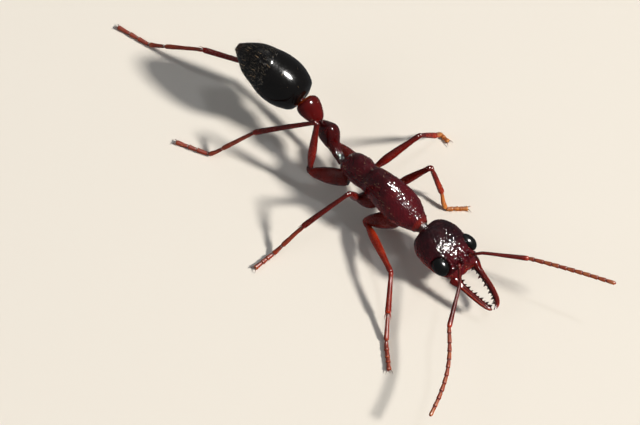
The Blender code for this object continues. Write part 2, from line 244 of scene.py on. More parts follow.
def evenly(count):
    """Shares from 0 to 1 in even steps."""
    return np.linspace(0.0, 1.0, count)


def unit(vector):
    vector = np.asarray(vector, float)
    return vector / np.maximum(np.linalg.norm(vector, axis=-1, keepdims=True), 1e-12)


def smooth_step(value, low, high):
    t = np.clip((value - low) / (high - low), 0.0, 1.0)
    return t * t * (3 - 2 * t)


def bell(value, centre, width):
    return np.exp(-(((value - centre) / width) ** 2))


def sections(table, along):
    """The cross-sections at distances along a part: smooth curves through the table's rows."""
    rows = np.array(table)
    along = np.asarray(along, float)
    last = len(rows) - 1
    index = np.clip(np.searchsorted(rows[:, 0], along, side="right") - 1, 0, last - 1)
    before, here, after, beyond = (rows[np.clip(index + k, 0, last)] for k in (-1, 0, 1, 2))
    span = after[..., :1] - here[..., :1]
    t = (along[..., None] - here[..., :1]) / span
    slope_here = (after - before) / np.maximum(after[..., :1] - before[..., :1], 1e-6) * span
    slope_after = (beyond - here) / np.maximum(beyond[..., :1] - here[..., :1], 1e-6) * span
    values = ((2 * t**3 - 3 * t**2 + 1) * here + (t**3 - 2 * t**2 + t) * slope_here
              + (3 * t**2 - 2 * t**3) * after + (t**3 - t**2) * slope_after)
    return values[..., 1:]


def aim(start, end):
    """The frame at start whose y runs to end and whose z leans up, as a 3x3 turn and a start."""
    along = unit(np.subtract(end, start))
    side = unit(np.cross(along, UP))
    return np.column_stack((side, along, np.cross(side, along))), start


def turned(angles):
    """A 3x3 turn by three angles in degrees."""
    return np.array(Euler([radians(angle) for angle in angles]).to_matrix())


def placed(points, frame):
    """Points of a part's own frame, in the ant's plan."""
    turn, start = frame
    return points @ turn.T + start


def on_head(points):
    return placed(points, (turned(HEAD_TURN), HEAD_BASE))


def ring_angles(sides):
    return 2 * pi * np.arange(sides) / sides


# ---- meshes


def new_object(name, data):
    piece = bpy.data.objects.new(name, data)
    bpy.context.scene.collection.objects.link(piece)
    return piece


def signed_volume(points, faces):
    a, b, c = (points[faces[:, k]] for k in range(3))
    return float(np.einsum("ij,ij->i", a, np.cross(b, c)).sum())


class Shape:
    """Points, faces, unwrap and per-point values of one piece, gathered from grids of rings."""

    def __init__(self):
        self.parts = []
        self.count = 0

    def add_rings(self, rings, tone=0.0, strip=(0.0, 1.0), downy=1.0):
        """A closed tube of rings with a pole at each end.

        tone and downy are one value for all, one for each ring or one for each point.
        """
        rings = np.asarray(rings, float)
        rows, sides = rings.shape[:2]
        poles = np.array([rings[0].mean(0), rings[-1].mean(0)])
        points = np.concatenate([rings.reshape(-1, 3), poles])
        tone, downy = (np.broadcast_to(np.reshape(v, (-1, 1)) if np.ndim(v) == 1 else v, (rows, sides))
                       for v in (tone, downy))
        lay = unit(np.gradient(rings, axis=0))
        row, col = np.meshgrid(np.arange(rows - 1), np.arange(sides), indexing="ij")
        row, col = row.ravel(), col.ravel()
        nearby = (col + 1) % sides
        quads = np.column_stack((row * sides + col, row * sides + nearby,
                                 (row + 1) * sides + nearby, (row + 1) * sides + col))
        low, high = strip
        height = low + (high - low) * np.arange(rows) / (rows - 1)
        corners = ((col, row), (col + 1, row), (col + 1, row + 1), (col, row + 1))
        quad_uv = np.stack([np.column_stack((c / sides, height[r])) for c, r in corners], axis=1)
        ring = np.arange(sides)
        triangles, cap_uv = [], []
        for pole, base, at, steps in ((rows * sides, 0, low, (0.5, 1, 0)),
                                      (rows * sides + 1, (rows - 1) * sides, high, (0.5, 0, 1))):
            edge = (base + (ring + step) % sides for step in steps[1:])
            triangles.append(np.column_stack((np.full(sides, pole), *edge)))
            around = (np.column_stack(((ring + step) / sides, np.full(sides, at))) for step in steps)
            cap_uv.append(np.stack(list(around), axis=1))
        triangles, cap_uv = np.concatenate(triangles), np.concatenate(cap_uv)
        all_faces = np.concatenate([quads[:, [0, 1, 2]], quads[:, [0, 2, 3]], triangles])
        if signed_volume(points - points.mean(0), all_faces) < 0:
            quads, quad_uv, triangles, cap_uv = (a[:, ::-1] for a in (quads, quad_uv, triangles, cap_uv))
        self.parts.append({
            "points": points, "quads": quads + self.count, "triangles": triangles + self.count,
            "uv": quad_uv.reshape(-1, 2), "cap_uv": cap_uv.reshape(-1, 2),
            "tone": np.concatenate([tone.ravel(), [tone[0].mean(), tone[-1].mean()]]),
            "downy": np.concatenate([downy.ravel(), (0.0, 0.0)]),
            "lay": np.concatenate([lay.reshape(-1, 3), lay[0, :1], lay[-1, :1]]),
        })
        self.count += len(points)
        return self

    def piece(self, name, slot, material=None, cad=True, sharp=None):
        """The piece, in its slot's material or another. If cad is set, it stands for the node of its name."""
        whole = {key: np.concatenate([part[key] for part in self.parts]) for key in self.parts[0]}
        points, quads, triangles = to_row(whole["points"]), whole["quads"], whole["triangles"]
        mesh = bpy.data.meshes.new(name)
        mesh.vertices.add(len(points))
        mesh.vertices.foreach_set("co", points.ravel())
        corners = np.concatenate([quads.ravel(), triangles.ravel()])
        mesh.loops.add(len(corners))
        mesh.loops.foreach_set("vertex_index", corners.astype(np.int32))
        starts = np.concatenate([np.arange(len(quads)) * 4, quads.size + np.arange(len(triangles)) * 3])
        mesh.polygons.add(len(starts))
        mesh.polygons.foreach_set("loop_start", starts.astype(np.int32))
        mesh.update(calc_edges=True)
        uv = np.concatenate([whole["uv"], whole["cap_uv"]])
        mesh.uv_layers.new(name="Unwrap").data.foreach_set("uv", uv.ravel())
        for kind in ("tone", "downy"):
            mesh.attributes.new(kind, "FLOAT", "POINT").data.foreach_set("value", whole[kind])
        mesh.attributes.new("lay", "FLOAT_VECTOR", "POINT").data.foreach_set("vector", whole["lay"].ravel())
        mesh.shade_smooth()
        if sharp:
            mesh.set_sharp_from_angle(angle=radians(sharp))
        mesh.materials.append(MATERIALS[material or slot])
        piece = new_object(name, mesh)
        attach(piece, BODY)
        if cad:
            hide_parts(name)
        return piece


def raised(rings, lift):
    """A grid of rings whose points are moved outwards by lift."""
    along = np.gradient(rings, axis=0)
    around = np.roll(rings, -1, axis=1) - np.roll(rings, 1, axis=1)
    normals = unit(np.cross(around, along))
    outward = rings - rings.mean(axis=1, keepdims=True)
    flip = np.sign(np.einsum("ijk,ijk->ij", normals, outward).sum())
    return rings + normals * flip * lift[..., None]


def noise_of(points, size, seed=0.0):
    """Smooth noise between -1 and 1 whose lumps are about size across."""
    flat = np.asarray(points, float).reshape(-1, 3) / size + seed
    values = np.fromiter((noise.noise(p) for p in flat.tolist()), float, len(flat))
    return values.reshape(np.shape(points)[:-1])


def body_rings(table, grid, front=None, rear=None, under=0.0, forward=1.0, square=1.0, fold=FOLD):
    """A plate's rings in its part's own frame: all of the table's length, or between two edges.

    under is how far its front lies under the plate before it.
    """
    rows, sides = grid
    angle = ring_angles(sides)
    front, rear = front or (table[0][0], 0.0, 0.0), rear or (table[-1][0], 0.0, 0.0)
    first, last = (place + top * np.sin(angle) + left * np.cos(angle) for place, top, left in (front, rear))
    first = first - under
    along = first + (last - first) * evenly(rows)[:, None]
    section = sections(table, along)
    across, up = np.cos(angle), np.sin(angle)
    if square != 1.0:
        across, up = (np.sign(way) * np.abs(way) ** square for way in (across, up))
    x = section[..., 0] * across
    z = np.where(up > 0, section[..., 1], section[..., 2]) * up
    rings = np.stack((x, forward * along, z), axis=-1)
    ends = []
    for ring, inward in ((rings[0], forward), (rings[-1], -forward)):
        folded = np.stack([ring + (ring.mean(0) - ring) * step for step in FOLD_STEPS])
        folded[0, :, 1] += inward * fold
        ends.append(folded)
    return np.concatenate([ends[0], rings, ends[1][::-1]])


def distances(path):
    """How far along a path each of its points is."""
    return np.concatenate([[0.0], np.cumsum(np.linalg.norm(np.diff(path, axis=0), axis=1))])


def walk(path, at):
    """The points at distances along a path."""
    length = distances(path)
    return np.column_stack([np.interp(at, length, path[:, k]) for k in range(3)])


def spline(points, count):
    """Points spread evenly by length along a smooth curve through the given ones."""
    points = np.asarray(points, float)
    padded = np.vstack([2 * points[0] - points[1], points, 2 * points[-1] - points[-2]])
    fine = []
    for a, b, c, d in zip(padded, padded[1:], padded[2:], padded[3:]):
        for t in np.linspace(0.0, 1.0, 24, endpoint=False):
            fine.append(0.5 * (2 * b + (c - a) * t + (2 * a - 5 * b + 4 * c - d) * t**2
                               + (3 * b - a - 3 * c + d) * t**3))
    fine = np.vstack([fine, points[-1]])
    return walk(fine, np.linspace(0.0, distances(fine)[-1], count))


def tube_rings(path, radii, sides, flat=1.0):
    """Rings round a path, turned as little as possible from one to the next. flat squeezes them upright."""
    path = np.asarray(path, float)
    tangents = unit(np.gradient(path, axis=0))
    side = unit(np.cross(tangents[0], UP if abs(tangents[0][2]) < 0.9 else (0.0, 1.0, 0.0)))
    angle = ring_angles(sides)
    rings = []
    for spot, tangent, radius in zip(path, tangents, radii):
        side = unit(side - tangent * np.dot(side, tangent))
        up = np.cross(side, tangent)
        rings.append(spot + radius * (np.outer(np.cos(angle), side) + flat * np.outer(np.sin(angle), up)))
    return np.array(rings)


def thorn(path, radius, taper, power=1.0, flat=1.0):
    """Rings of a thorn that runs to a point along a path."""
    return tube_rings(path, radius * (1 - np.linspace(0.0, taper, len(path)) ** power), THORN_SIDES, flat)


def bent(start, end, bow, count):
    """Points from start to end, bowed at the middle."""
    share = evenly(count)[:, None]
    return np.asarray(start) + (np.asarray(end) - start) * share + np.asarray(bow) * np.sin(pi * share)


def segment_rings(path, spans, bead):
    """Beads along a path: one for each span, narrow where it starts and widest near its end."""
    beads = []
    neck, waist, rim = bead
    share = evenly(BEAD_ROWS)
    start = 0.0
    for span in np.asarray(spans) / np.sum(spans):
        spots = walk(path, (start + share * span) * distances(path)[-1])
        radii = np.interp(share, (0.0, 0.06, 0.14, 0.5, 0.86, 0.96, 1.0),
                          (neck * 0.75, neck, neck * 1.08, waist, rim, rim * 0.95, neck * 0.8))
        beads.append((spots, radii, share))
        start += span
    return beads


# ---- materials


def linear(hex_colour):
    """An sRGB hex colour as linear red, green, blue and alpha."""
    channels = [int(hex_colour[k:k + 2], 16) / 255 for k in (1, 3, 5)]
    return tuple(c / 12.92 if c <= 0.04045 else ((c + 0.055) / 1.055) ** 2.4 for c in channels) + (1.0,)


def fill(node, **links):
    """Gives inputs, by name or _number, plain values or links from a socket or a node's first socket."""
    for key, value in links.items():
        socket = node.inputs[int(key[1:])] if key[0] == "_" else node.inputs[key.replace("_", " ")]
        if isinstance(value, bpy.types.Node):
            value = value.outputs[0]
        if isinstance(value, bpy.types.NodeSocket):
            node.id_data.links.new(value, socket)
        else:
            socket.default_value = value
    return node


def add_node(tree, kind, settings=None, **links):
    """Adds a node with its settings and inputs."""
    made = tree.nodes.new(kind)
    for key, value in (settings or {}).items():
        if key == "stops":
            elements = made.color_ramp.elements
            while len(elements) < len(value):
                elements.new(0.5)
            for element, (place, colour) in zip(elements, value):
                element.position = place
                element.color = linear(colour)
        else:
            setattr(made, key, value)
    return fill(made, **links)


def new_material(name):
    """A new material, its shader, and a function that adds a node to it."""
    material = bpy.data.materials.new(name)
    material.use_nodes = True
    tree = material.node_tree
    return material, tree.nodes["Principled BSDF"], partial(add_node, tree)


def per_mm(size):
    """A texture's scale for features of this size in millimetres."""
    return 1000.0 / size


def cuticle(name, dark, middle, light, roughness, glow=0.0, lumps=0.4, grain=0.05, bump=0.0):
    """Insect cuticle: hard tanned chitin, coloured from dark to light by the piece's tone, which holds its
    own colours and some painted light and shade.

    lumps and grain are the sizes of its clouds and of its fine roughness, and bump is how deep that goes.
    """
    material, shader, add = new_material(name)
    place = add("ShaderNodeTexCoord").outputs["Object"]
    tone = add("ShaderNodeAttribute", {"attribute_name": "tone"}).outputs["Fac"]
    clouds = add("ShaderNodeTexNoise", Vector=place, Scale=per_mm(lumps), Detail=3.0)
    centred = add("ShaderNodeMath", {"operation": "MULTIPLY_ADD"}, _0=clouds, _1=0.5, _2=-0.25)
    mixed = add("ShaderNodeMath", {"operation": "ADD", "use_clamp": True}, _0=tone, _1=centred)
    colour = add("ShaderNodeValToRGB", {"stops": ((0.0, dark), (0.5, middle), (1.0, light))}, Fac=mixed)
    fine = add("ShaderNodeTexNoise", Vector=place, Scale=per_mm(grain), Detail=2.0)
    rough = add("ShaderNodeMapRange", _0=fine, _1=0.3, _2=0.7, _3=roughness - ROUGH_SPREAD,
                _4=roughness + ROUGH_SPREAD)
    fill(shader, Base_Color=colour, Roughness=rough, IOR=CHITIN_IOR)
    if bump:
        relief = add("ShaderNodeBump", Height=fine, Strength=1.0, Distance=bump * MM)
        fill(shader, Normal=relief)
    if glow:
        fill(shader, Subsurface_Weight=glow, Subsurface_Radius=(1.0, 0.25, 0.10),
             Subsurface_Scale=GLOW_DEPTH * MM)
    return material


def eye_lenses():
    """The eye's facets: a close honeycomb of clear black lenses, which together shine like polished glass."""
    material, shader, add = new_material("compound_eye_lenses")
    place = add("ShaderNodeTexCoord").outputs["Object"]
    # Facets are about 0.02 mm across in life; twice that shows.
    cells = add("ShaderNodeTexVoronoi", {"feature": "F1"}, Vector=place, Scale=per_mm(0.04))
    relief = add("ShaderNodeBump", {"invert": True}, Height=cells, Strength=0.3, Distance=0.004 * MM)
    colour = add("ShaderNodeValToRGB", {"stops": ((0.0, "#0a0c0b"), (1.0, "#030303"))}, Fac=cells)
    fill(shader, Base_Color=colour, Normal=relief, Roughness=0.23, IOR=CHITIN_IOR)
    return material


def bristle_stuff(name, root, tip):
    """Setae: thin pale chitin bristles that catch the light."""
    material, shader, add = new_material(name)
    place = add("ShaderNodeTexCoord").outputs["Object"]
    clouds = add("ShaderNodeTexNoise", Vector=place, Scale=per_mm(0.3))
    colour = add("ShaderNodeValToRGB", {"stops": ((0.35, root), (0.65, tip))}, Fac=clouds)
    fill(shader, Base_Color=colour, Roughness=0.35, IOR=CHITIN_IOR)
    return material


def make_materials():
    return {
        # Rugose cuticle of the head and trunk: deep maroon under fine wrinkles that break up each highlight.
        "maroon_shell": cuticle("rugose_maroon_cuticle", "#0c0308", "#4a0912", "#822818", 0.15, lumps=0.5,
                                grain=0.06, bump=0.002),
        # Smooth cuticle of the waist: blood red and deep, so it glows a little at its edges.
        "red_shell": cuticle("polished_red_cuticle", "#220305", "#540706", "#b8481c", 0.14, glow=0.1,
                             lumps=0.6, grain=0.10, bump=0.002),
        # The jaws' cuticle: darker and worn, with a broken shine.
        "jaw": cuticle("worn_jaw_cuticle", "#160203", "#600805", "#b8401c", 0.16, glow=0.1, lumps=0.3,
                       grain=0.06, bump=0.002),
        # Smooth cuticle of the gaster: black, with a brown rim on each plate.
        "black_shell": cuticle("polished_black_cuticle", "#050404", "#0b0908", "#4c2714", 0.14, lumps=0.8,
                               grain=0.09, bump=0.0015),
        # Thin cuticle of the legs and scapes: red-brown, a little see-through, with a soft shine.
        "leg_red": cuticle("red_brown_leg_cuticle", "#1e0605", "#6e1006", "#c03c14", 0.26, glow=0.05,
                           lumps=0.5, bump=0.004),
        # Cuticle of the feet, the whips and the neck: paler and duller than the shell.
        "foot_orange": cuticle("orange_brown_foot_cuticle", "#3a1209", "#8a2c12", "#cc8438", 0.38, glow=0.1,
                               lumps=0.3, grain=0.04, bump=0.006),
        "eye_black": eye_lenses(),
        # Upright bristles: straw gold.
        "gold_hair": bristle_stuff("golden_setae", "#8a6a44", "#c9ae84"),
        # Flat down on the gaster and the whips: greyer gold.
        "grey_hair": bristle_stuff("grey_gold_down", "#473d2e", "#7d705a"),
    }


# ---- bristles


def bristle_tree():
    """Geometry nodes that set bent, pointed bristles on a skin, leaning along the skin's lay."""
    tree = bpy.data.node_groups.new("bristles", "GeometryNodeTree")
    inputs = dict(Skin="Geometry", Density="Float", Length="Float", Thickness="Float", Lean="Float",
                  Curl="Float", Seed="Int", Stuff="Material")
    for name, kind in inputs.items():
        tree.interface.new_socket(name, in_out="INPUT", socket_type="NodeSocket" + kind)
    tree.interface.new_socket("Bristles", in_out="OUTPUT", socket_type="NodeSocketGeometry")
    add = partial(add_node, tree)
    given = add("NodeGroupInput").outputs
    number, vector = {"data_type": "FLOAT"}, {"data_type": "FLOAT_VECTOR"}
    on_corners = {"data_type": "FLOAT2", "domain": "CORNER"}
    times = {"operation": "MULTIPLY"}
    downy, lay, unwrap, root, cone_uv = (
        add("GeometryNodeInputNamedAttribute", number if name == "downy" else vector, Name=name)
        for name in ("downy", "lay", "Unwrap", "root", "patch"))
    amount = add("ShaderNodeMath", times, _0=given["Density"], _1=downy)
    roots = add("GeometryNodeDistributePointsOnFaces", Mesh=given["Skin"], Density=amount,
                Seed=given["Seed"])
    marked = add("GeometryNodeStoreNamedAttribute", vector, Geometry=roots.outputs["Points"], Name="root",
                 Value=unwrap)
    cone = add("GeometryNodeMeshCone", Vertices=3, Side_Segments=3, Radius_Top=0.1, Radius_Bottom=0.5,
               Depth=1.0)
    patch = add("GeometryNodeStoreNamedAttribute", on_corners, Geometry=cone.outputs["Mesh"], Name="patch",
                Value=cone.outputs["UV Map"])
    spot = add("ShaderNodeSeparateXYZ", Vector=add("GeometryNodeInputPosition"))
    squared = add("ShaderNodeMath", {"operation": "POWER"}, _0=spot.outputs["Z"], _1=2.0)
    sway = add("ShaderNodeMath", times, _0=squared, _1=given["Curl"])
    bristle = add("GeometryNodeSetPosition", Geometry=patch, Offset=add("ShaderNodeCombineXYZ", X=sway))
    leaning = add("ShaderNodeMix", {"data_type": "VECTOR"}, _0=given["Lean"], _4=roots.outputs["Normal"],
                  _5=lay)
    stray = add("FunctionNodeRandomValue", vector, _0=(-STRAY,) * 3, _1=(STRAY,) * 3, Seed=given["Seed"])
    aimed = add("ShaderNodeVectorMath", {"operation": "ADD"}, _0=leaning.outputs[1], _1=stray)
    turn = add("FunctionNodeAxesToRotation", {"primary_axis": "Z", "secondary_axis": "X"}, _0=aimed,
               _1=lay)
    vary = add("FunctionNodeRandomValue", number, _2=LENGTHS[0], _3=LENGTHS[1], Seed=given["Seed"])
    tall = add("ShaderNodeMath", times, _0=given["Length"], _1=vary.outputs[1])
    size = add("ShaderNodeCombineXYZ", X=given["Thickness"], Y=given["Thickness"], Z=tall)
    stood = add("GeometryNodeInstanceOnPoints", Points=marked, Instance=bristle, Rotation=turn, Scale=size)
    real = add("GeometryNodeRealizeInstances", Geometry=stood)
    tiny = add("ShaderNodeVectorMath", {"operation": "MULTIPLY_ADD"}, _0=cone_uv, _1=(ROOT_PATCH,) * 3,
               _2=root)
    baked = add("GeometryNodeStoreNamedAttribute", on_corners, Geometry=real, Name="OFBake", Value=tiny)
    painted = add("GeometryNodeSetMaterial", Geometry=baked, Material=given["Stuff"])
    add("NodeGroupOutput", _0=painted)
    return tree


def grow(skin, name, coat):
    """A coat's bristles on a skin, as one mesh."""
    density, length, thickness, lean, curl, seed = COATS[coat]
    hair = MATERIALS["grey_hair" if coat in GREY_COATS else "gold_hair"]
    piece = new_object(name, skin.data.copy())
    modifier = piece.modifiers.new("bristles", "NODES")
    modifier.node_group = BRISTLES
    values = dict(Density=density * 1e6, Length=length * MM, Thickness=thickness * MM, Lean=lean,
                  Curl=curl, Seed=seed, Stuff=hair)
    for socket in BRISTLES.interface.items_tree:
        if socket.name in values:
            modifier[socket.identifier] = values[socket.name]
    bpy.context.view_layer.update()
    graph = bpy.context.evaluated_depsgraph_get()
    mesh = bpy.data.meshes.new_from_object(piece.evaluated_get(graph))
    piece.modifiers.clear()
    piece.data = mesh
    for spare in ("root", "patch"):
        if spare in mesh.attributes:
            mesh.attributes.remove(mesh.attributes[spare])
    mesh.name = name
    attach(piece, BODY)


# ---- head


def striae(points, across, swirl, deep, pitch=RUGA_PITCH, seed=0.0):
    """Wavy lengthwise wrinkles, broken into beads: the fine sculpture of the head, trunk, neck and coxas.

    across is the places' distance across the wrinkles, and swirl says how far the beads are drawn out.
    """
    wander = noise_of(points, 0.45, seed) * 0.16 + noise_of(points, 0.13, seed + 7) * 0.05
    lines = 0.5 + 0.5 * np.cos(2 * pi * (across + wander) / pitch)
    beads = 0.55 + 1.3 * noise_of(points * (1.0, swirl, 1.0), 0.11, seed + 3)
    return deep * (lines * np.clip(beads, 0.05, 1.3) - 0.4)


def eye_turn(side):
    return turned(np.multiply(EYE_TURN, (1, side, side)))


def eye_distance(points, side):
    """How far points are from an eye's middle, in eye radii."""
    local = (points - on_side(EYE_PLACE, side)) @ eye_turn(side)
    return np.linalg.norm(local / np.array(EYE_SIZE), axis=-1)


def make_head():
    rings = body_rings(HEAD, GRIDS["head"], forward=-1.0, square=0.92)
    x, y, z = np.moveaxis(rings, -1, 0)
    top = smooth_step(z, -0.1, 0.3)
    lift = np.zeros(x.shape)
    # The frons has a shallow middle furrow and two short ridges beside the feelers' sockets.
    lift -= 0.04 * bell(x, 0.0, 0.06) * smooth_step(-y, 1.6, 2.2) * top
    ridge = smooth_step(-y, 2.3, 2.8) * (1 - smooth_step(-y, 3.15, 3.4)) * top
    lift += 0.13 * bell(np.abs(x), 0.19, 0.07) * ridge
    # The face falls away in two shallow hollows between the sockets and the eyes.
    lift -= 0.05 * bell(np.abs(x), 0.70, 0.14) * bell(-y, 2.75, 0.35) * top
    # A rim stands round each feeler's socket and each eye.
    socket_shade = 0.0
    for side in SIDES.values():
        spot = np.hypot(x - side * SCAPE_SOCKET[0], y - SCAPE_SOCKET[1])
        socket_shade = socket_shade + bell(spot, 0.05, 0.20) * top
        lift += (0.08 * bell(spot, 0.21, 0.05) - 0.12 * bell(spot, 0.0, 0.13)) * top
        near = eye_distance(rings, side)
        lift += 0.045 * bell(near, 1.24, 0.12) - 0.06 * bell(near, 1.04, 0.06)
        lift -= 0.10 * bell(near, 1.0, 0.35) * smooth_step(z, 0.1, 0.4)
    # The cheeks swell over the jaws' roots, and a low rim runs round the neck hole.
    lift += 0.06 * bell(-y, 3.15, 0.2) * smooth_step(np.abs(x), 0.5, 0.8) * (z < 0.1)
    lift += 0.02 * bell(-y, 0.2, 0.06)
    calm = 1 - 0.7 * smooth_step(-z, 0.2, 0.7)
    sculpture = striae(rings, x, 1.1, 0.022, seed=1.0) + 0.020 * noise_of(rings, 0.125, 5.0)
    lift += sculpture * calm * smooth_step(-y, 0.12, 0.3)
    rings = raised(rings, lift)
    # The front edge is hollow between the jaws' roots.
    rings[..., 1] += 0.22 * bell(x, 0.0, 0.26) * smooth_step(-y, 2.9, 3.34)
    # The tone is darker round the feelers' sockets as painted shade in the hollows, and redder towards the
    # front. It is lighter underneath and on the lower cheeks as painted light thrown up from the floor, and
    # darker on top behind the frons.
    tone = (0.36 - 0.26 * socket_shade + 0.20 * smooth_step(-y, 2.1, 3.0) + 0.42 * smooth_step(-z, -0.1, 0.5)
            + 0.30 * smooth_step(np.abs(x), 0.95, 1.35) * smooth_step(-z, -0.4, 0.2)
            - 0.26 * smooth_step(z, 0.25, 0.8) * (1 - smooth_step(-y, 1.7, 2.7)))
    clear = np.minimum(*(smooth_step(eye_distance(rings, side), 1.15, 1.3) for side in SIDES.values()))
    downy = clear * (0.4 + 0.6 * smooth_step(-y, 2.6, 3.2)) * smooth_step(-y, 0.3, 0.6)
    shape = Shape().add_rings(on_head(rings), tone, downy=downy)
    grow(shape.piece("head", "maroon_shell"), "head_setae", "head")


def make_mouth():
    """The upper lip between the jaws' roots, and the four-jointed palps under it."""
    rows, sides = GRIDS["lip"]
    path = spline([(0.0, -2.98, -0.05), (0.0, -3.12, -0.14), (0.0, -3.22, -0.32), (0.0, -3.20, -0.50)], rows)
    rings = tube_rings(path, LIP_RADIUS * (1 - 0.55 * evenly(rows) ** 3), sides)
    centre = path[:, None]
    rings = centre + (rings - centre) * (1.1, 0.28, 0.28)
    shape = Shape().add_rings(on_head(rings), 0.45)
    for side in SIDES.values():
        path = spline([(side * 0.22, -2.95, -0.50), (side * 0.30, -3.02, -0.80), (side * 0.42, -2.72, -1.02),
                       (side * 0.55, -2.38, -1.10)], 60)
        for spots, radii, along in segment_rings(path, PALP_SPANS, PALP_BEAD):
            shape.add_rings(on_head(tube_rings(spots, radii, 10)), 0.85 - 0.4 * bell(along, 0.0, 0.15))
    shape.piece("upper_lip_and_palps", "leg_red", cad=False)


def make_eyes():
    rows, sides = GRIDS["eye"]
    polar, angle = np.linspace(0.02, pi - 0.02, rows)[:, None], ring_angles(sides)
    flat = np.sin(polar)
    ball = np.stack((flat * np.cos(angle), flat * np.sin(angle), np.cos(polar) + 0 * angle), axis=-1)
    for side_name, side in SIDES.items():
        eye = (ball * np.array(EYE_SIZE)) @ eye_turn(side).T
        eye += on_side(EYE_PLACE, side)
        Shape().add_rings(on_head(eye)).piece(f"eye_{side_name}", "eye_black")


def jaw_line(share, side_name):
    """The middle of a jaw at shares of its course."""
    course = [np.array((*place, 0.0)) for place in JAWS[side_name]]
    share = np.asarray(share, float)[..., None]
    spot = sum(many * place * share**k * (1 - share) ** (3 - k)
               for k, (many, place) in enumerate(zip((1, 3, 3, 1), course)))
    spot[..., 2] = JAW_HEIGHT[0] + (JAW_HEIGHT[1] - JAW_HEIGHT[0]) * share[..., 0]
    return spot


def make_jaw(side_name, side):
    """A mandible: a long blade, rounded outside, with a groove on top, saw teeth inside and a hooked tip."""
    rows, sides = GRIDS["jaw"]
    share = 1 - (1 - evenly(rows)) ** 1.25
    middle = jaw_line(share, side_name)
    along = unit(np.gradient(middle, axis=0))
    out = unit(side * np.stack((-along[:, 1], along[:, 0], np.zeros(rows)), axis=-1))
    up = np.cross(along, out)
    up *= np.sign(up[:, 2:3])
    root_bulb = bell(share, 0.03, 0.10)
    wide = JAW_WIDTH * (1 - 0.15 * share) * (1 - share**7) * (1 + 0.85 * root_bulb) + 0.012
    thick = JAW_THICKNESS * (1 - 0.45 * share) * (1 - share**9) * (1 + 0.75 * root_bulb) + 0.012
    angle = ring_angles(sides)
    across, lift = np.cos(angle), np.sin(angle)
    blade = np.where(across < 0, 1 - 0.45 * np.abs(across) ** 1.5, 1.0)
    groove = 0.26 * np.outer(smooth_step(share, 0.10, 0.22), bell(across, 0.30, 0.20) * (lift > 0))
    rings = (middle[:, None] + wide[:, None, None] * across[None, :, None] * out[:, None]
             + thick[:, None, None] * ((lift * blade)[None, :] - groove)[..., None] * up[:, None])
    # A painted highlight runs as a pale line along the outside, and the toothed edge and the tip are dark.
    tone = (0.40 + 0.45 * np.outer(smooth_step(share, 0.10, 0.22), bell(across, 0.72, 0.12))
            - 0.38 * smooth_step(-across, 0.35, 0.9) - 0.25 * smooth_step(share, 0.85, 1.0)[:, None])
    downy = (0.3 + 0.7 * smooth_step(across, 0.0, 0.6)) * (1 - smooth_step(share, 0.7, 0.9))[:, None]
    shape = Shape().add_rings(on_head(rings), tone, (0.0, 0.8), downy)
    for k in range(TEETH):
        at = 0.12 + 0.68 * k / (TEETH - 1)
        before, spot, after = jaw_line([at - 0.01, at, at + 0.01], side_name)
        run = unit(after - before)
        inward = -side * unit(np.array((-run[1], run[0], 0.0)))
        reach = np.interp(at, share, wide)
        long, stout = TOOTH_SIZES[k % 2]
        tip = spot + inward * (reach + long) + run * 0.06
        path = bent(spot + inward * (reach - 0.06), tip, -run * 0.02, 6)
        shape.add_rings(on_head(thorn(path, stout, 0.96, 1.3, flat=0.7)), 0.02, (0.8, 1.0), 0.0)
    jaw = shape.piece(f"mandible_{side_name}", "red_shell", material="jaw", sharp=60)
    grow(jaw, f"mandible_setae_{side_name}", "mandible")


def make_antenna(side_name, side):
    """The scape with its ball joint, then the whip's eleven beads, pale with dark joints."""
    socket = on_head(on_side(SCAPE_SOCKET, side))
    bend, elbow, middle, tip = (np.array(p) for p in ANTENNAE[side_name])
    rows, sides = GRIDS["scape"]
    near = socket * 0.4 + bend * 0.6 + (0.0, 0.0, 0.05)
    path = spline([socket, near, bend, (bend + elbow) / 2, elbow], rows)
    share = evenly(rows)
    tone = 0.32 + 0.45 * bell(share, 1.0, 0.08) + 0.2 * bell(share, 0.0, 0.04)
    shape = Shape().add_rings(tube_rings(path, sections(SCAPE, share)[..., 0], sides), tone)
    grow(shape.piece(f"scape_{side_name}", "leg_red"), f"scape_setae_{side_name}", "scape")
    path = bent(elbow, tip, middle - (elbow + tip) / 2, 90)
    shape = Shape()
    count = len(WHIP_SPANS)
    for index, (spots, radii, along) in enumerate(segment_rings(path, WHIP_SPANS, WHIP_BEAD)):
        if index == count - 1:
            radii = radii * np.sqrt(np.clip(1 - along**6, 0.02, 1.0))
        tone = (0.52 - 0.5 * bell(along, 0.0, 0.12) - 0.35 * bell(along, 1.0, 0.07)
                + 0.12 * index / count)
        strip = (index / count, (index + 1) / count)
        shape.add_rings(tube_rings(spots, radii, BEAD_SIDES), tone, strip)
    whip = shape.piece(f"funiculus_{side_name}", "foot_orange")
    grow(whip, f"funiculus_down_{side_name}", "funiculus")


# ---- trunk, waist and gaster


def make_neck():
    """The soft, dull neck, which shows only between the head and the collar."""
    rows, sides = GRIDS["neck"]
    path = spline([(-0.03, -0.24, 2.54), (-0.02, -0.05, 2.62), (0.0, 0.12, 2.70), (0.0, 0.3, 2.75)], 12)
    rings = tube_rings(spline(path, rows), np.full(rows, NECK_RADIUS), sides)
    rings = raised(rings, striae(rings, rings[..., 0] - rings[..., 2], 0.6, 0.020, seed=13.0))
    Shape().add_rings(rings, 0.12).piece("neck", "foot_orange", cad=False)


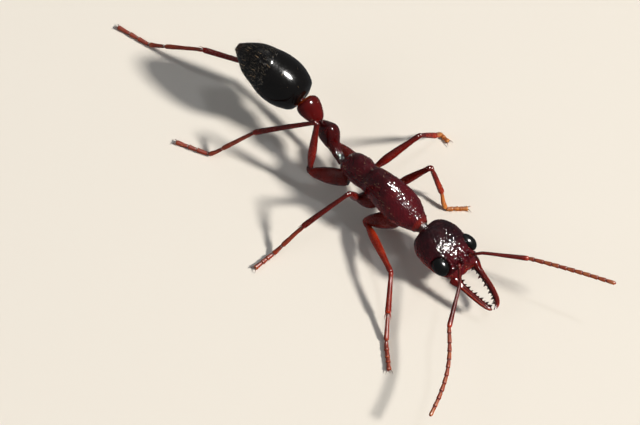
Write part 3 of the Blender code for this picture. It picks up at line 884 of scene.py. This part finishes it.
def make_trunk():
    """Three plates with deep seams between them, under one fine sculpture."""
    names = ("pronotum", "mesothorax", "propodeum")
    for name, front, rear, seed in zip(names, TRUNK_EDGES, TRUNK_EDGES[1:], (0.0, 4.0, 9.0)):
        under = 0.0 if name == "pronotum" else TRUNK_OVERLAP
        rings = body_rings(TRUNK, GRIDS[name], front, rear, under)
        x, y, z = np.moveaxis(rings, -1, 0)
        across = x * (1 + 0.25 * np.sin(y * 2.0)) + z * 0.35 * np.sign(x)
        lift = striae(rings, across, 0.9, 0.018, seed=seed)
        share = evenly(rings.shape[0])[:, None]
        lift -= 0.06 * (bell(share, 0.0, 0.035) * (name != "pronotum") + bell(share, 1.0, 0.02))
        if name == "pronotum":
            # A pale collar stands round the neck, and the shoulders bulge a little.
            lift += 0.04 * bell(y, 0.30, 0.07) + 0.03 * bell(y, 1.1, 0.35) * bell(z, 0.35, 0.3)
        elif name == "mesothorax":
            # A seam parts the back from the side plates.
            lift -= 0.07 * bell(z, 0.72 - 0.05 * (y - 3.0), 0.045)
        else:
            # A breathing hole opens on each side, over a groove.
            hole = np.hypot(y - 4.75, z - 0.55)
            lift += 0.05 * bell(hole, 0.12, 0.035) - 0.08 * bell(hole, 0.0, 0.06)
            lift -= 0.07 * bell(z, 0.30, 0.05) * smooth_step(y, 4.1, 4.4) * (1 - smooth_step(y, 5.2, 5.5))
        rings = raised(rings, lift)
        # The collar and the sides are paler and the top behind is darker. The underside is lighter as painted
        # light thrown up from the floor.
        tone = (0.46 + 0.25 * (1 - smooth_step(y, 0.10, 0.50)) + 0.25 * smooth_step(-z, -0.3, 0.4)
                + 0.10 * smooth_step(np.abs(x), 0.6, 1.0)
                - 0.16 * smooth_step(z, 0.9, 1.5) * smooth_step(y, 1.8, 3.0))
        downy = 0.35 + 0.65 * smooth_step(z, 0.2, 0.9)
        shape = Shape().add_rings(rings + TRUNK_START, tone, downy=downy)
        grow(shape.piece(name, "maroon_shell"), f"{name}_setae", name)


def make_waist():
    """The petiole, narrow in front and high behind, the round postpetiole, and the joint between them."""
    rings = body_rings(PETIOLE, GRIDS["petiole"])
    x, y, z = np.moveaxis(rings, -1, 0)
    lift = striae(rings, x, 0.6, 0.034, pitch=0.10, seed=21.0) * (1 - 0.75 * smooth_step(y, 0.9, 1.3))
    rings = raised(rings, lift)
    rings[..., 0] += PETIOLE_BOW * bell(y, 1.8, 0.6)
    # The underside is painted lighter, a painted glow of light shining through the thin shell, and the top is
    # a little darker.
    tone = 0.22 + 0.5 * smooth_step(-z, -0.25, 0.25) - 0.10 * smooth_step(z, 0.4, 0.8)
    shape = Shape().add_rings(placed(rings, aim(PETIOLE_START, PETIOLE_END)), tone)
    grow(shape.piece("petiole", "red_shell"), "petiole_setae", "petiole")

    rows, sides = GRIDS["waist_joint"]
    middle = np.array(PETIOLE_END)
    back = unit(np.array(POSTPETIOLE_END) - middle)
    link = np.linspace(middle - unit(middle - PETIOLE_START) * 0.25, middle + back * 0.20, rows)
    joint = Shape().add_rings(tube_rings(link, np.full(rows, WAIST_JOINT_RADIUS), sides), 0.30)
    joint.piece("waist_joint", "red_shell", cad=False)

    rings = body_rings(POSTPETIOLE, GRIDS["postpetiole"])
    y, z = rings[..., 1], rings[..., 2]
    # A pale ring runs round the rear end. The underside is painted a little lighter as a painted glow of
    # light through the shell.
    tone = 0.42 + 0.5 * smooth_step(y, 1.30, 1.44) + 0.10 * smooth_step(-z, 0.0, 0.4)
    shape = Shape().add_rings(placed(rings, aim(PETIOLE_END, POSTPETIOLE_END)), tone)
    grow(shape.piece("postpetiole", "red_shell"), "postpetiole_setae", "postpetiole")


def make_gaster():
    """Four plates: each rear edge is a thin brown rim that stands over the next plate's front."""
    frame = aim(GASTER_START, GASTER_TIP)
    for number, (front, rear) in enumerate(zip(GASTER_EDGES, GASTER_EDGES[1:]), 1):
        name = f"gaster_{number}"
        first = number == 1
        under = 0.0 if first else GASTER_OVERLAP
        rings = body_rings(GASTER, GRIDS[name], front, rear, under, fold=GASTER_FOLD)
        share = evenly(rings.shape[0])[:, None]
        swell = 1.0 + 0.004 * smooth_step(share, 0.8, 1.0)
        if not first:
            swell = swell - 0.012 * (1 - smooth_step(share, 0.0, 0.25))
        centre = rings.mean(axis=1, keepdims=True)
        rings = centre + (rings - centre) * swell[..., None]
        y, z = rings[..., 1], rings[..., 2]
        # Each plate's rear rim and the tip are browner. The underside is painted a little lighter, as painted
        # light thrown up from the floor.
        tone = (0.30 + 0.50 * smooth_step(share, 0.96, 1.0) + 0.15 * smooth_step(-z, 0.6, 1.2)
                + 0.35 * smooth_step(y, 3.9, 4.6))
        downy = (0.10 if first else 1.0) * smooth_step(share, 0.05, 0.2) + 0.9 * smooth_step(-z, -0.2, 0.8)
        plate = Shape().add_rings(placed(rings, frame), tone, downy=downy).piece(name, "black_shell")
        if not first:
            grow(plate, f"{name}_down", "gaster_down")
        grow(plate, f"{name}_setae", name)


# ---- legs


def leg_rings(kind, table, start, end, bow):
    """A leg piece's rings, which bow up a little in its middle, after their shares of its length."""
    rows, sides = GRIDS[kind]
    share = evenly(rows)
    return share, tube_rings(bent(start, end, (0, 0, bow), rows), sections(table, share)[..., 0], sides)


def make_leg(name):
    root, hip, knee, ankle, touch, toe = (np.array(p) for p in LEGS[name])
    touch, toe = (place * (1, 1, 0) + (0, 0, FOOT_LIFT) for place in (touch, toe))
    # Painted light: the fore right leg is painted brighter as painted sunlight, and the two left feet and
    # tibiae are painted paler as a painted glow of sun through them.
    sunlit_lift = 0.26 if name == "fore_right" else 0.04
    sunlit_foot_glow = 0.36 if name in ("fore_left", "mid_left") else 0.0

    share, rings = leg_rings("coxa", COXA, root, hip, 0.0)
    rings = raised(rings, striae(rings, rings[..., 0] + rings[..., 2], 0.6, 0.018, seed=3.0))
    Shape().add_rings(rings, 0.34 + 0.35 * bell(share, 1.0, 0.15)).piece(f"coxa_{name}", "leg_red")

    share, rings = leg_rings("femur", FEMUR, hip, knee, 0.04)
    tone = (0.34 + sunlit_lift - 0.3 * bell(share, 0.10, 0.03) + 0.1 * bell(share, 0.4, 0.3)
            - 0.15 * smooth_step(share, 0.85, 1))
    femur = Shape().add_rings(rings, tone).piece(f"femur_{name}", "leg_red")
    grow(femur, f"femur_setae_{name}", "femur")

    share, rings = leg_rings("tibia", TIBIA, knee, ankle, 0.03)
    # The tibia takes the painted sunlight and, on the two left legs, the painted glow towards its end.
    tone = 0.30 + sunlit_lift + 0.9 * sunlit_foot_glow * smooth_step(share, 0.05, 0.7) + 0.25 * bell(share, 1.0, 0.05)
    shape = Shape().add_rings(rings, tone, (0.0, 0.9))
    down = unit(ankle - knee)
    side = unit(np.cross(down, UP))
    for spur in (-1, 1):
        start = ankle - down * 0.05 + side * spur * 0.09
        end = start + down * SPUR_LENGTH + side * spur * 0.08 - np.array((0, 0, 0.05))
        path = bent(start, end, side * spur * 0.03, 8)
        shape.add_rings(thorn(path, SPUR_RADIUS, 0.93), 0.8, (0.9, 1.0), 0.0)
    grow(shape.piece(f"tibia_{name}", "leg_red"), f"tibia_setae_{name}", "tibia")

    near = touch + unit(ankle - touch) * 0.35
    far = touch + (toe - touch) * 0.10
    path = spline([ankle, (ankle + touch) / 2, near, far, (touch + toe) / 2, toe], 120)
    path[:, 2] = np.maximum(path[:, 2], FOOT_LIFT)
    shape = Shape()
    for index, (spots, radii, along) in enumerate(segment_rings(path, FOOT_SPANS, FOOT_BEAD)):
        # The two left feet are painted paler here, a painted glow of sun through them.
        tone = (0.38 + sunlit_foot_glow + 0.02 * index - 0.3 * bell(along, 0.0, 0.12)
                + 0.12 * smooth_step(along, 0.6, 1.0))
        shape.add_rings(tube_rings(spots, radii, BEAD_SIDES), tone, (0.15 * index, 0.15 * (index + 1)))
    ahead = unit((toe - touch) * (1, 1, 0))
    side = np.array((-ahead[1], ahead[0], 0.0))
    for claw in (-1, 1):
        start = toe + side * claw * 0.03 - ahead * 0.03
        path = spline([start, start + ahead * 0.10 + side * claw * 0.10 + (0, 0, 0.03),
                       start + ahead * 0.22 + side * claw * 0.17 - (0, 0, 0.10)], 12)
        path[:, 2] = np.maximum(path[:, 2], 0.03)
        shape.add_rings(thorn(path, CLAW_RADIUS, 0.9), 0.15, (0.9, 1.0), 0.0)
    grow(shape.piece(f"tarsus_{name}", "foot_orange"), f"tarsus_setae_{name}", "tarsus")


# ---- floor, light and camera


def make_stage():
    """A pale paper floor, wide and plain."""
    mesh = bpy.data.meshes.new("floor")
    corners = [(x * FLOOR_REACH, y * FLOOR_REACH, 0) for x, y in ((-1, -1), (1, -1), (1, 1), (-1, 1))]
    mesh.from_pydata(corners, [], [(0, 1, 2, 3)])
    paper, shader, _ = new_material("pale_paper")
    fill(shader, Base_Color=linear("#e6e0d6"), Roughness=0.9)
    mesh.materials.append(paper)
    floor = new_object("floor", mesh)
    # The glossy shell mirrors the dim room, not the pale paper.
    floor.visible_glossy = False


def light(name, direction, distance, size, power, colour, mirrored=True, lighting=True):
    """An oval lamp aimed at the ant: size is its width and its length, which runs along the ant.

    The shell mirrors it only if mirrored is set, and it lights the scene only if lighting is set.
    """
    data = bpy.data.lights.new(name, "AREA")
    data.shape = "ELLIPSE"
    data.size, data.size_y = size
    data.energy = power
    data.color = colour
    lamp = new_object(name, data)
    way = Vector(direction).normalized()
    lamp.location = Vector(to_row(LAMP_TARGET)) + way * distance
    length = (Vector((0.0, 1.0, 0.0)) - way * way.y).normalized()
    lamp.rotation_euler = Matrix((length.cross(way), length, way)).transposed().to_euler()
    lamp.visible_glossy = mirrored
    lamp.visible_diffuse = lighting


def make_camera():
    back = Vector((sin(VIEW_AZIMUTH) * cos(VIEW_ELEVATION), -cos(VIEW_AZIMUTH) * cos(VIEW_ELEVATION),
                   sin(VIEW_ELEVATION)))
    data = bpy.data.cameras.new("camera")
    data.lens = LENS
    data.clip_start = 0.001
    data.clip_end = 10.0
    camera = new_object("camera", data)
    camera.location = Vector(to_row(VIEW_TARGET)) + back * VIEW_DISTANCE * MM
    camera.rotation_euler = back.to_track_quat("Z", "Y").to_euler()
    bpy.context.scene.camera = camera


def make_lights():
    """Soft light from the right, a dim fill and sheen, and a lamp that only makes the narrow highlights."""
    right = Vector((cos(VIEW_AZIMUTH), sin(VIEW_AZIMUTH), 0.0))
    away = Vector((-sin(VIEW_AZIMUTH), cos(VIEW_AZIMUTH), 0.0))
    up = Vector(UP)
    light("key", right * 0.713 - away * 0.315 + up * 0.627, 1.2, (0.15, 0.15), 20.0, (1.0, 0.96, 0.90),
          mirrored=False)
    light("glint", right * 0.38 - away * 0.04 + up * 0.92, 0.45, (0.018, 0.080), 7.0, (1.0, 0.98, 0.94),
          lighting=False)
    light("fill", -right * 0.8 - away * 0.3 + up * 0.7, 1.2, (0.8, 0.8), 2.0, (0.92, 0.96, 1.0),
          mirrored=False)
    light("sheen", away * 0.8 + up * 0.8, 0.5, (0.30, 0.30), 0.05, (1.0, 1.0, 1.0))
    world = bpy.data.worlds.new("studio")
    world.use_nodes = True
    fill(world.node_tree.nodes["Background"], Color=(0.95, 0.97, 1.0, 1.0), Strength=0.12)
    bpy.context.scene.world = world
    bpy.context.scene.view_settings.view_transform = "Standard"


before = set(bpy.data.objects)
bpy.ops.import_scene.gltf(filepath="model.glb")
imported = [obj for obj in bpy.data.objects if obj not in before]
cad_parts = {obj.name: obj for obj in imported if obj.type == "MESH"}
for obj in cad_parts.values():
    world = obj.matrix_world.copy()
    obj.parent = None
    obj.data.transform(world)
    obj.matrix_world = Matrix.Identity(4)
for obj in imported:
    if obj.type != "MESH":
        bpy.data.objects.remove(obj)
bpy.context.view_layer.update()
BRISTLES = bristle_tree()
MATERIALS = make_materials()
make_camera()
make_lights()
make_stage()
make_head()
make_mouth()
make_eyes()
for side_name, side in SIDES.items():
    make_jaw(side_name, side)
    make_antenna(side_name, side)
make_neck()
make_trunk()
make_waist()
make_gaster()
for leg_name in LEGS:
    make_leg(leg_name)
